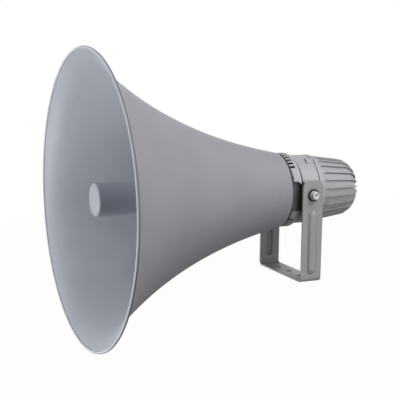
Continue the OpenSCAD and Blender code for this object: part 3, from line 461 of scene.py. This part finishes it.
def powder_coat(name, grey, blue, gloss, spun=0.0, shade_reach=0.0, crease_shade=False):
    """Powder coat in a grey of 0 to 255, with blue added to its blue.

    spun is the depth of the rings left by spinning, and it also brings the rim's painted highlight
    and painted shade. The other two give the reach of painted shade in a casting's recesses, and a
    line of painted shade in narrow creases.
    """
    finish, place = surface(name)
    cloud = noise(finish, place, CLOUD_SIZE, 3.0)
    peel = noise(finish, place, PEEL_SIZE, 1.0)
    grain = noise(finish, place, GRAIN_SIZE)
    dark = linear(*(np.array([grey, grey, grey + blue]) - DARKER_BY))
    light = linear(*(np.array([grey, grey + 1, grey + blue]) + LIGHTER_BY))
    coat = tinted(finish, cloud, dark, light)
    normal = relief(finish, peel, PEEL_DEPTH, rounded(finish, EDGE_RADIUS))
    normal = relief(finish, grain, GRAIN_DEPTH, normal)
    if spun:
        rings = finish.node(
            "ShaderNodeTexNoise", {"noise_dimensions": "1D"},
            W=axis_of(finish, place, ALONG_AXIS), Scale=SPUN_RINGS_PER_METRE, Detail=1.5,
        )
        normal = relief(finish, rings, spun, normal)
        # Painted highlight and painted shade at the rolled rim.
        coat = rim_highlight_and_shade(finish, place, coat)
    # Painted shade in the casting's recesses and on its pocket floors.
    if shade_reach:
        coat = recess_shaded(finish, place, coat, shade_reach)
    # A line of painted shade in narrow creases, such as at the bracket's pressed bead.
    if crease_shade:
        coat = crease_shaded(finish, coat)
    return closed(
        finish,
        Base_Color=coat,
        Roughness=uneven(cloud, gloss, GLOSS_SPREAD) + grain * GRAIN_ROUGHNESS,
        Normal=normal,
        IOR=1.5,
        Coat_Weight=0.05,
        Coat_Roughness=0.22,
    )


materials = {
    "bell_paint": powder_coat("bell_powder_coat", 176, 8, 0.54, spun=0.06 * MM),
    "reflector_paint": powder_coat("reflector_powder_coat", 176, 9, 0.42),
    "housing_paint": powder_coat("casting_powder_coat", 200, 4, 0.46, shade_reach=40 * MM),
    "bracket_steel": powder_coat("bracket_powder_coat", 185, 3, 0.44, crease_shade=True),
}
print("powder coats:", ", ".join(materials))

# %% [markdown]
# Bare metal takes its colour from what it mirrors, so it is a tint with full Metallic and a
# roughness that strays a little. Plated zinc keeps a fine grain, a raw casting a coarse one.
# Moulded plastic, rubber and ground ferrite are the other way round: a plain dark colour, and
# the grain of the die or the grinding wheel in the relief.


# %% Metal and moulded pieces
def metal(name, dark, light, gloss, grain=0.6 * MM, depth=0.01 * MM):
    """Bare or plated metal: two tints, a roughness, and the size and depth of its grain."""
    finish, place = surface(name)
    cloud = noise(finish, place, 12 * MM, 3.0)
    fine = noise(finish, place, grain)
    return closed(
        finish,
        Base_Color=tinted(finish, cloud, linear(*dark), linear(*light)),
        Metallic=1.0,
        Roughness=uneven(cloud, gloss - 0.03, 0.14) + fine * 0.08,
        Normal=relief(finish, fine, depth, rounded(finish, EDGE_RADIUS / 2)),
    )


def moulded(name, grey, gloss, grain=0.7 * MM, depth=0.03 * MM):
    """A moulded plastic or rubber in a grey of 0 to 255, with the die's fine grain."""
    finish, place = surface(name)
    cloud = noise(finish, place, 20 * MM, 3.0)
    die = noise(finish, place, grain)
    dark = linear(grey - 3, grey - 3, grey - 2)
    light = linear(grey + 3, grey + 3, grey + 4)
    return closed(
        finish,
        Base_Color=tinted(finish, cloud, dark, light),
        Roughness=uneven(cloud, gloss, 0.12),
        Normal=relief(finish, die, depth),
        IOR=1.48,
    )


materials["cast_aluminium"] = metal(
    "bare_cast_aluminium", (176, 177, 180), (198, 199, 201), 0.5, depth=0.04 * MM
)
materials["zinc"] = metal(
    "bright_zinc", (186, 190, 196), (214, 215, 210), 0.3, depth=0.003 * MM
)
materials["iron"] = metal("blackened_iron", (62, 62, 66), (84, 84, 86), 0.46)
materials["brass_screw"] = metal("turned_brass", (214, 178, 92), (226, 194, 112), 0.32)
materials["ferrite"] = moulded("ground_ferrite", 58, 0.62, grain=0.3 * MM, depth=0.02 * MM)
materials["moulded_grey"] = moulded("moulded_grey", 112, 0.55)
materials["black_rubber"] = moulded("black_rubber", 40, 0.72, grain=1.2 * MM, depth=0.06 * MM)
materials["terminal_black"] = moulded("terminal_plastic", 38, 0.45)
materials["gland_grey"] = moulded("gland_plastic", 62, 0.5, grain=0.6 * MM, depth=0.04 * MM)
print(len(materials), "finishes so far")

# %% [markdown]
# Three finishes have a direction of their own. The voice coil's wire runs round in fine turns,
# so its relief is a sine along the horn's axis. The transformer's winding is wrapped in tape
# whose edges step every few millimetres. The diaphragm is resin on a woven cloth, whose threads
# cross in two directions.


# %% Wound and woven finishes
def waves(finish, along, pitch):
    """A sine from 0 to 1 that repeats every pitch metres along a coordinate."""
    turn = along * (2 * math.pi / pitch)
    return turn.math("SINE", turn) * 0.5 + 0.5


def wound(name, dark, light, pitch, depth, gloss, metallic):
    """Turns of wire or tape, stacked along Y."""
    finish, place = surface(name)
    turns = waves(finish, axis_of(finish, place, ALONG_AXIS), pitch)
    cloud = noise(finish, place, 6 * MM)
    return closed(
        finish,
        Base_Color=tinted(finish, cloud * 0.6 + turns * 0.4, linear(*dark), linear(*light)),
        Metallic=metallic,
        Roughness=cloud * 0.12 + gloss,
        Normal=relief(finish, turns, depth),
        Coat_Weight=0.4,
        Coat_Roughness=0.15,
    )


def woven(name, dark, light, pitch, depth):
    """Resin-bonded cloth with threads along X and Z."""
    finish, place = surface(name)
    across, up = (axis_of(finish, place, axis) for axis in (0, 2))
    weave = waves(finish, across, pitch) * waves(finish, up, pitch)
    return closed(
        finish,
        Base_Color=tinted(finish, weave, linear(*dark), linear(*light)),
        Roughness=weave * 0.2 + 0.3,
        Normal=relief(finish, weave, depth),
    )


materials["copper_coil"] = wound(
    "enamelled_wire", (168, 92, 52), (206, 124, 76), 0.5 * MM, 0.1 * MM, 0.25, 0.9
)
materials["winding_tape"] = wound(
    "winding_tape", (196, 164, 84), (222, 194, 112), 6 * MM, 0.2 * MM, 0.3, 0.0
)
materials["diaphragm_film"] = woven(
    "resin_cloth", (142, 98, 48), (176, 132, 74), 0.6 * MM, 0.08 * MM
)
print("all", len(materials), "finishes are made")

# %% [markdown]
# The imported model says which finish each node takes, so one loop puts them on. The meshes stay
# as they came.

# %% Every node gets its finish
slot_of = {part["node"]: part["material_slot"] for part in frame["record"]["subparts"]}
for name, piece in frame["nodes"].items():
    for material_slot in piece.material_slots:
        material_slot.material = materials[slot_of[name]]
print("finished", len(slot_of), "nodes in", len(materials), "materials")

# %% [markdown]
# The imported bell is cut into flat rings, and its long curve shows them in a raking light. The
# next cells draw the same sheet again as one smooth surface of revolution. A profile is a list
# of (radius, distance along the axis) points, and turning it gives a grid whose columns are the
# angles.


# %% Turned sheet
def lathe(name, profile, columns):
    """Turns a closed profile of (r, y) points about the horn's axis into a mesh.

    x = r sin(a), z = AXIS_Z + r cos(a), with a from 0 at the top towards +X.
    """
    angle = np.linspace(0, 2 * np.pi, columns, endpoint=False)
    radius, along = profile[:, :1], profile[:, 1:]
    points = np.stack(
        [radius * np.sin(angle), along + 0 * angle, AXIS_Z + radius * np.cos(angle)], axis=-1
    )
    rows = len(profile)
    row, column = np.meshgrid(np.arange(rows), np.arange(columns), indexing="ij")
    next_row, next_column = (row + 1) % rows, (column + 1) % columns
    corners = [row * columns + column, next_row * columns + column,
               next_row * columns + next_column, row * columns + next_column]
    return new_piece(name, points.reshape(-1, 3), np.stack(corners, -1).reshape(-1, 4).tolist())


def smooth(piece, sharp_angle=None):
    """Smooth shading, but for edges that turn by more than sharp_angle radians, if it is given."""
    flags = np.ones(len(piece.data.polygons), dtype=bool)
    piece.data.polygons.foreach_set("use_smooth", flags)
    if sharp_angle is not None:
        piece.data.set_sharp_from_angle(angle=sharp_angle)
    piece.data.update()


# %% [markdown]
# The flare is a hyperbolic horn, which widens slowly at the neck and fast at the mouth. A short
# lip turns it out a little more, and the sheet's edge is rolled into a round bead. The mouth's
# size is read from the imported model, so the two always agree, and a tenth of a millimetre less
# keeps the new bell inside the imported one's box. The inner face lies one sheet thickness under
# the outer one, measured square to the curve.

# %% Profile of the bell
BELL_INSIDE_BOX = 0.1 * MM
NECK_R, NECK_BORE_R, NECK_ROUND = 68 * MM, 52 * MM, 2 * MM
SHEET = 1.5 * MM
RIM_R = 2.6 * MM
FLARE_LENGTH, FLARE_START, LIP_LENGTH = 256 * MM, 0.72, 9 * MM
STATIONS, CROWDING = 92, 1.5
CURL_STEPS = 40

mouth_r = float(bell_high[0] - bell_low[0]) / 2 - BELL_INSIDE_BOX
bell_length = NECK_Y - MOUTH_Y - RIM_R
curl_r, curl_y = mouth_r - RIM_R, MOUTH_Y + RIM_R


def flare(u):
    """Hyperbolic horn: r(u) = R (cosh(u / L) + k sinh(u / L)), u in front of the neck."""
    return NECK_R * (np.cosh(u / FLARE_LENGTH) + FLARE_START * np.sinh(u / FLARE_LENGTH))


def sheet_line(u, depth):
    """Points of the sheet, depth under its outer face: the flare plus a lip that grows as e^u."""
    lip_rise = curl_r - flare(bell_length)
    radius = flare(u) + lip_rise * np.exp((u - bell_length) / LIP_LENGTH)
    slope = np.gradient(radius, u)
    stretch = np.sqrt(1 + slope**2)
    line = np.stack([radius - depth / stretch, NECK_Y - u - depth * slope / stretch], -1)
    return line[np.hypot(line[:, 0] - curl_r, line[:, 1] - curl_y) > RIM_R]


def arc(centre_r, centre_y, radius, first, last, steps):
    """Points of an arc, with angles in degrees from outwards (+r) towards the back (+y)."""
    turn = np.radians(np.linspace(first, last, steps))
    return np.stack([centre_r + radius * np.cos(turn), centre_y + radius * np.sin(turn)], -1)


def curl_angle(point):
    """Where a point lies around the bead's centre, in the degrees that arc() takes."""
    return math.degrees(math.atan2(point[1] - curl_y, point[0] - curl_r))


stations = bell_length * (1 - np.linspace(1, 0, STATIONS) ** CROWDING)
stations = stations[stations > NECK_ROUND]
outer_line = sheet_line(stations, 0)
inner_line = sheet_line(stations, SHEET)[::-1]
curl_first, curl_last = curl_angle(outer_line[-1]), curl_angle(inner_line[0])
if curl_last > curl_first:
    curl_last -= 360
neck_centre = NECK_R - NECK_ROUND, NECK_Y - NECK_ROUND
bell_profile = np.concatenate([
    [[NECK_BORE_R, NECK_Y]],
    arc(*neck_centre, NECK_ROUND, 90, 0, 7),
    outer_line,
    arc(curl_r, curl_y, RIM_R, curl_first, curl_last, CURL_STEPS),
    inner_line,
    arc(*neck_centre, NECK_ROUND - SHEET, 0, 90, 4),
    [[NECK_BORE_R, NECK_Y - SHEET]],
])
print("profile:", len(bell_profile), "points, curl", round(curl_first - curl_last), "degrees")

# %% [markdown]
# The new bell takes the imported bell's place: it rides on the same body, fills the same slot and
# hides the node that it replaces.

# %% Smooth bell
BELL_COLUMNS = 240

bell = lathe("smooth_bell", bell_profile, BELL_COLUMNS)
smooth(bell)
bell.data.materials.append(materials["bell_paint"])
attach(bell, "horn")
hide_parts("horn_bell")
print("bell:", len(bell.data.polygons), "faces, mouth", round(2 * mouth_r / MM, 1), "mm")

# %% [markdown]
# Screws and bolts are turned about their own axis. Each one is a grid of stations along the
# profile by angles around it, and a rule bends the plain rings where the head isn't round: the
# hexagon's flats on a bolt, the cross-shaped socket on a pan head. The two ends close in a fan of
# triangles around a middle point. One grid is worked out, then copied to every seat at once.

# %% Fastener helpers
SHARP_FASTENER_EDGE = math.radians(28)


def rings_of(profile, columns):
    """Round rings from a profile of (r, z) points: x = r cos(a), y = r sin(a)."""
    profile = np.asarray(profile, float)
    angle = np.linspace(0, 2 * np.pi, columns, endpoint=False)
    radius, height = profile[:, :1], profile[:, 1:]
    return np.stack(
        [radius * np.cos(angle), radius * np.sin(angle), height + 0 * angle], axis=-1
    )


def turned(rings, low_end, high_end):
    """Points and faces of a solid from rings (n, columns, 3), closed by fans to two end points."""
    rows, columns = rings.shape[:2]
    points = np.concatenate([rings.reshape(-1, 3), [[0, 0, low_end], [0, 0, high_end]]])
    row, column = np.meshgrid(np.arange(rows - 1), np.arange(columns), indexing="ij")
    beside = (column + 1) % columns
    quads = np.stack([row * columns + column, row * columns + beside,
                      (row + 1) * columns + beside, (row + 1) * columns + column], -1)
    step = np.arange(columns)
    next_step = (step + 1) % columns
    top = (rows - 1) * columns
    first = np.stack([np.full(columns, len(points) - 2), next_step, step], -1)
    last = np.stack([np.full(columns, len(points) - 1), top + step, top + next_step], -1)
    return points, quads.reshape(-1, 4), np.concatenate([first, last])


def seated(name, solid, seats):
    """Copies a solid to seats, each (place, level outward direction), as one zinc-plated piece."""
    points, quads, fans = solid
    blocks, faces = [], []
    for index, (place, out) in enumerate(seats):
        side = np.cross([0, 0, 1], out)
        blocks.append(points @ np.stack([side, np.cross(out, side), out]) + np.asarray(place))
        faces += (quads + index * len(points)).tolist() + (fans + index * len(points)).tolist()
    piece = new_piece(name, np.concatenate(blocks), faces)
    smooth(piece, SHARP_FASTENER_EDGE)
    piece.data.materials.append(materials["zinc"])
    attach(piece, "horn")
    return piece


# %% [markdown]
# The pivot bolts are what the eye goes to on the bracket. A real hexagon head has its corners cut
# by a flat cone, which leaves a curved edge on every side, and a low round face on top. The
# radius of a hexagon at an angle a is its half width over flats, divided by the cosine of the
# angle from the nearest flat, and the cone sets how high each corner may reach.

# %% Pivot bolts
BOLT_FLATS, BOLT_SHANK_R, BOLT_HEAD = 13 * MM, 4 * MM, 5.3 * MM
BOSS_X, BOLT_GRIP, BOLT_POINT = 75.7 * MM, 14 * MM, 1 * MM
ROUND_FACE_R = 0.46 * BOLT_FLATS
WASHER_FACE, CONE_DROP, CONE = 0.4 * MM, 0.25 * MM, math.radians(32)
BOLT_COLUMNS = 96

head_seat_x = float(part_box("pivot_bolts")[1][0]) - BOLT_HEAD
bolt_shank = head_seat_x - BOSS_X + BOLT_GRIP


def hex_ring(flats, height):
    """A hexagon's outline: r(a) = flats / 2 / cos(angle from the nearest flat's middle).

    height is one number, or a function of the radius.
    """
    angle = np.linspace(0, 2 * np.pi, BOLT_COLUMNS, endpoint=False)
    from_flat = (angle + math.pi / 6) % (math.pi / 3) - math.pi / 6
    radius = flats / 2 / np.cos(from_flat)
    level = height(radius) if callable(height) else np.full(BOLT_COLUMNS, height)
    return np.stack([radius * np.cos(angle), radius * np.sin(angle), level], -1)


def cone_height(radius):
    """How high the head's corners reach: the further out, the lower, by the cone's slope."""
    return BOLT_HEAD - CONE_DROP - (radius - BOLT_FLATS / 2) * math.tan(CONE)


def hex_bolt():
    """Shank, washer face, six flats, chamfer and top, as one turned solid."""
    shank = rings_of(
        [[BOLT_SHANK_R - BOLT_POINT, -bolt_shank], [BOLT_SHANK_R, BOLT_POINT - bolt_shank],
         [BOLT_SHANK_R, 0], [ROUND_FACE_R, 0], [ROUND_FACE_R, WASHER_FACE]], BOLT_COLUMNS
    )
    flats = np.stack([hex_ring(BOLT_FLATS, WASHER_FACE), hex_ring(BOLT_FLATS, cone_height)])
    dished_top = rings_of(
        [[ROUND_FACE_R, BOLT_HEAD], [0.6 * ROUND_FACE_R, BOLT_HEAD - 0.15 * MM],
         [0.2 * ROUND_FACE_R, BOLT_HEAD - 0.35 * MM]], BOLT_COLUMNS
    )
    rings = np.concatenate([shank, flats, dished_top])
    return turned(rings, -bolt_shank, BOLT_HEAD - 0.37 * MM)


bolts = seated(
    "hex_pivot_bolts", hex_bolt(),
    [((side * head_seat_x, 0, AXIS_Z), (side, 0, 0)) for side in (-1, 1)]
)
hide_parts("pivot_bolts")
print("bolts:", len(bolts.data.polygons), "faces, shank", round(bolt_shank / MM, 1), "mm")

# %% [markdown]
# Ten pan-head screws show from outside: four at the cover's lugs, and six that hold the bell and
# can be seen in its neck. The dome is a superellipse, flatter on top than a sphere. Its
# cross-shaped socket is pressed in where a point is near one of two crossing lines.

# %% Pan head
SCREW_R, SCREW_POINT = 2.5 * MM, 0.8 * MM
HEAD_R, HEAD_HEIGHT, HEAD_CHAMFER, RIM_HEIGHT = 4.2 * MM, 3.4 * MM, 0.2 * MM, 1.5 * MM
SOCKET_HALF_WIDTH, SOCKET_REACH, SOCKET_DEPTH = 0.62 * MM, 2.3 * MM, 1.6 * MM
SOCKET_SIDE_EASE, SOCKET_END_EASE = 0.25 * MM, 0.4 * MM
DOME_STEPS, DOME_CENTRE_R = 22, 0.12 * MM
SCREW_COLUMNS = 72


def eased(distance, width):
    """0 outside, 1 inside, with a smooth step width metres wide: t^2 (3 - 2 t)."""
    part = np.clip(distance / width, 0, 1)
    return part * part * (3 - 2 * part)


def pan_head(shank):
    """Shank, seat, rim and dome, with z = rim + rise (1 - (r / R)^4)^0.5 less the socket."""
    dome_r = HEAD_R * (1 - np.linspace(0, 1, DOME_STEPS)) ** 0.8 + DOME_CENTRE_R
    dome_r[0] = HEAD_R
    dome_z = RIM_HEIGHT + (HEAD_HEIGHT - RIM_HEIGHT) * np.sqrt(1 - (dome_r / HEAD_R) ** 4)
    shank_line = [[SCREW_R - SCREW_POINT, -shank], [SCREW_R, SCREW_POINT - shank],
                  [SCREW_R, 0], [HEAD_R - HEAD_CHAMFER, 0], [HEAD_R, HEAD_CHAMFER]]
    profile = np.concatenate([shank_line, np.stack([dome_r, dome_z], -1)])
    rings = rings_of(profile, SCREW_COLUMNS)
    dome = rings[len(shank_line):]
    across, up = np.abs(dome[:, :, 0]), np.abs(dome[:, :, 1])
    slots = [
        eased(SOCKET_HALF_WIDTH - near, SOCKET_SIDE_EASE)
        * eased(SOCKET_REACH - far, SOCKET_END_EASE)
        for near, far in ((across, up), (up, across))
    ]
    dome[:, :, 2] -= SOCKET_DEPTH * np.maximum(*slots)
    return turned(rings, -shank, HEAD_HEIGHT - SOCKET_DEPTH)


print("pan head:", round(2 * HEAD_R / MM, 1), "mm across")

# %% [markdown]
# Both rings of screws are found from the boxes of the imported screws: the end of the box gives
# the height of the head, and its top the radius of the ring.


# %% Rings of screws
def screw_ring(name, node, degrees, facing):
    """Pan heads around the horn's axis, facing the back (1) or the front (-1)."""
    low, high = (np.array(corner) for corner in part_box(node))
    seat = high[1] - HEAD_HEIGHT if facing > 0 else low[1] + HEAD_HEIGHT
    shank = seat - low[1] if facing > 0 else high[1] - seat
    angle = np.radians(degrees)
    radius = (high[2] - AXIS_Z - HEAD_R) / np.cos(angle[0])
    seats = [
        ((radius * np.sin(a), seat, AXIS_Z + radius * np.cos(a)), (0, facing, 0)) for a in angle
    ]
    piece = seated(name, pan_head(shank), seats)
    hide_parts(node)
    print(name + ":", len(seats), "screws on radius", round(radius / MM, 1), "mm")


screw_ring("cover_pan_screws", "cover_screws", [30, 150, 210, 330], 1)
screw_ring("neck_pan_screws", "neck_screws", [0, 60, 120, 180, 240, 300], -1)
